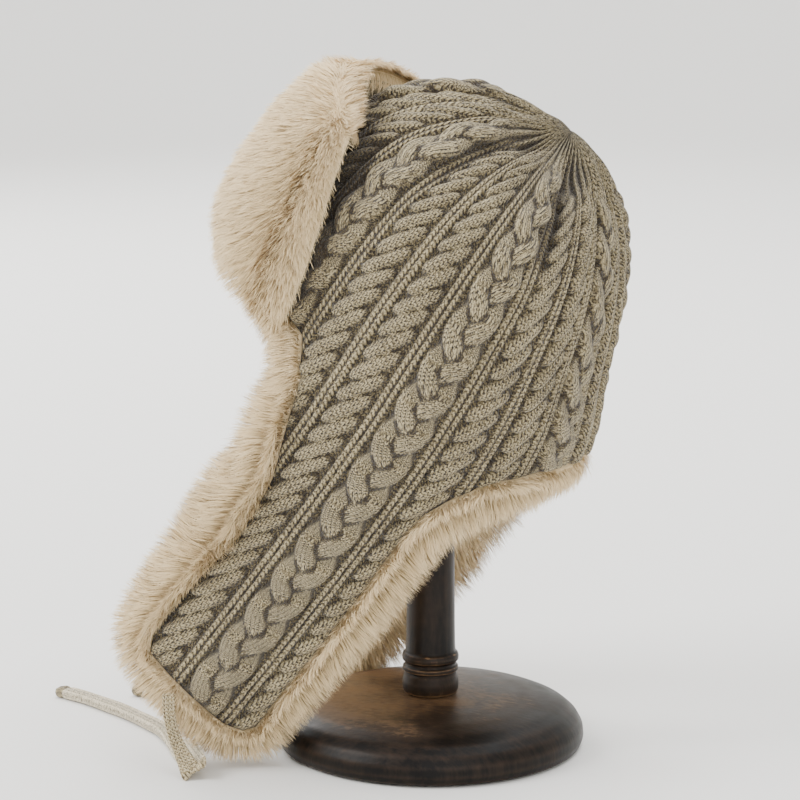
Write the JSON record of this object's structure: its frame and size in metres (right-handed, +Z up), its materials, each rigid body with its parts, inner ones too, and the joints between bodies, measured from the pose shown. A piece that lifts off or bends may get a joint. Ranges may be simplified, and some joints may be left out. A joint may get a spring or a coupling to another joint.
{
  "type": "cable-knit trapper hat on a display stand",
  "caption": "Cable-knit trapper hat with plush lining, long ear flaps and flat ties, tipped back on a turned wooden hat stand.",
  "frame": {"origin": "centre of the stand's flat underside", "axes": "+Z up along the stand's post, -Y towards the front of the hat, +X towards the wearer's left ear flap"},
  "size_m": [0.2369, 0.3522, 0.3891],
  "materials": {
    "wool_knit": "matte",
    "plush": "matte",
    "tie_knit": "matte",
    "dark_wood": "satin"
  },
  "bodies": {
    "root": {"stand_base": "dark_wood", "stand_post": "dark_wood", "stand_head": "dark_wood", "knit_shell": "wool_knit", "fur_lining": "plush", "visor_backing": "wool_knit", "fur_visor": "plush", "tie_left": "tie_knit", "tie_right": "tie_knit"}
  },
  "joints": []
}
